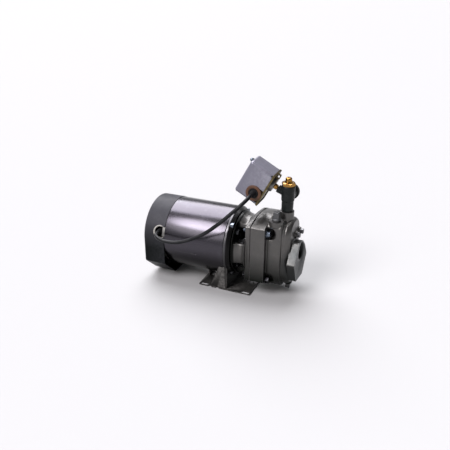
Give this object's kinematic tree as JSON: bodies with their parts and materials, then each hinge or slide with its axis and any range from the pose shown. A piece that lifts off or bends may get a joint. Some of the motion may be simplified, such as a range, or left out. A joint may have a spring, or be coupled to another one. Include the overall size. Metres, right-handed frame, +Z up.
{
  "type": "shallow well jet pump",
  "caption": "Electric shallow well jet pump: cylindrical motor, open bracket, cast jet casing with hexagonal suction nose, and a pressure switch on a discharge tee.",
  "frame": {"origin": "centre of the underside of the foot plate", "axes": "+X along the motor shaft towards the suction port, +Z up, so the discharge branch points to +Y"},
  "size_m": [0.3735, 0.2052, 0.3181],
  "materials": {
    "motor_enamel": "smooth metallic grey enamel",
    "ring_enamel": "light grey enamel",
    "cover_plastic": "moulded black, fine texture",
    "cast_iron": "painted dark grey casting",
    "cast_plug": "bare cast pipe plug",
    "zinc_bolt": "zinc plated",
    "steel": "machined steel",
    "aluminium": "die cast",
    "copper": "enamelled copper wire",
    "brass": "machined brass",
    "black_iron": "black malleable iron",
    "rubber": "matt black rubber",
    "cord_jacket": "smooth flexible cord jacket",
    "ceramic": "polished ceramic ring",
    "gasket_fibre": "pressed gasket fibre",
    "conduit_fibre": "reddish brown fibre bushing",
    "moulded_plastic": "natural glass filled plastic",
    "switch_paint": "grey painted sheet steel",
    "chromate": "yellow chromate on sheet steel",
    "foot_paint": "dark grey painted sheet steel"
  },
  "bodies": {
    "frame": {"motor_shell": "motor_enamel", "rear_end_bell": "aluminium", "front_end_bell": "ring_enamel", "stator_core": "steel", "winding_rear": "copper", "winding_front": "copper", "rear_bearing": "steel", "front_bearing": "steel", "terminal_board": "moulded_plastic", "start_capacitor": "cover_plastic", "motor_cord_grip": "rubber", "pump_bracket": "cast_iron", "casing_gasket": "gasket_fibre", "pump_casing": "cast_iron", "diffuser": "moulded_plastic", "venturi_tube": "moulded_plastic", "jet_nozzle": "brass", "seal_seat": "ceramic", "drain_plug": "cast_plug", "gauge_plug_1": "cast_plug", "gauge_plug_2": "cast_plug", "discharge_tee": "black_iron", "brass_bushing": "brass", "brass_plug": "brass", "switch_base": "chromate", "diaphragm_housing": "aluminium", "switch_nipple": "brass", "conduit_ring": "conduit_fibre", "spring_stud": "steel", "terminal_block": "cover_plastic", "range_spring": "steel", "switch_cord_grip": "rubber", "switch_cord": "cord_jacket", "foot": "foot_paint", "through_bolt_1": "zinc_bolt", "bracket_screw_1": "zinc_bolt", "casing_bolt_1": "zinc_bolt", "through_bolt_2": "zinc_bolt", "bracket_screw_2": "zinc_bolt", "casing_bolt_2": "zinc_bolt", "through_bolt_3": "zinc_bolt", "bracket_screw_3": "zinc_bolt", "casing_bolt_3": "zinc_bolt", "through_bolt_4": "zinc_bolt", "bracket_screw_4": "zinc_bolt", "casing_bolt_4": "zinc_bolt"},
    "rotor": {"motor_shaft": "steel", "rotor_core": "steel", "cooling_fan": "cover_plastic", "impeller": "moulded_plastic", "seal_head": "rubber", "water_slinger": "rubber"},
    "actuator": {"centrifugal_actuator": "cover_plastic"},
    "end_cover": {"motor_end_cover": "cover_plastic", "end_cover_screw_1": "zinc_bolt", "end_cover_screw_2": "zinc_bolt"},
    "switch_cover": {"switch_cover": "switch_paint", "switch_cover_nut": "zinc_bolt"},
    "lever": {"contact_lever": "chromate"},
    "priming_plug": {"priming_plug": "cast_plug"}
  },
  "joints": [
    {"name": "rotor_spin", "type": "hinge", "parent": "frame", "child": "rotor", "pos_m": [0, 0, 0.105], "axis": [1, 0, 0], "continuous": true},
    {"name": "actuator_slide", "type": "slide", "parent": "rotor", "child": "actuator", "axis": [1, 0, 0], "range_m": [0, 0.003], "stiffness_N_per_m": 600, "springref_m": -0.002},
    {"name": "end_cover_slide", "type": "slide", "parent": "frame", "child": "end_cover", "axis": [-1, 0, 0], "range_m": [0, 0.06]},
    {"name": "switch_cover_slide", "type": "slide", "parent": "frame", "child": "switch_cover", "axis": [-0.8788, 0, 0.4772], "range_m": [0, 0.065]},
    {"name": "contact_lever_hinge", "type": "hinge", "parent": "frame", "child": "lever", "pos_m": [0.06697, 0, 0.25026], "axis": [0, 1, 0], "range_deg": [0, 3], "stiffness_Nm_per_rad": 0.6, "springref_deg": -11.46},
    {"name": "priming_plug_slide", "type": "slide", "parent": "frame", "child": "priming_plug", "axis": [0, 0, 1], "range_m": [0, 0.03]}
  ]
}
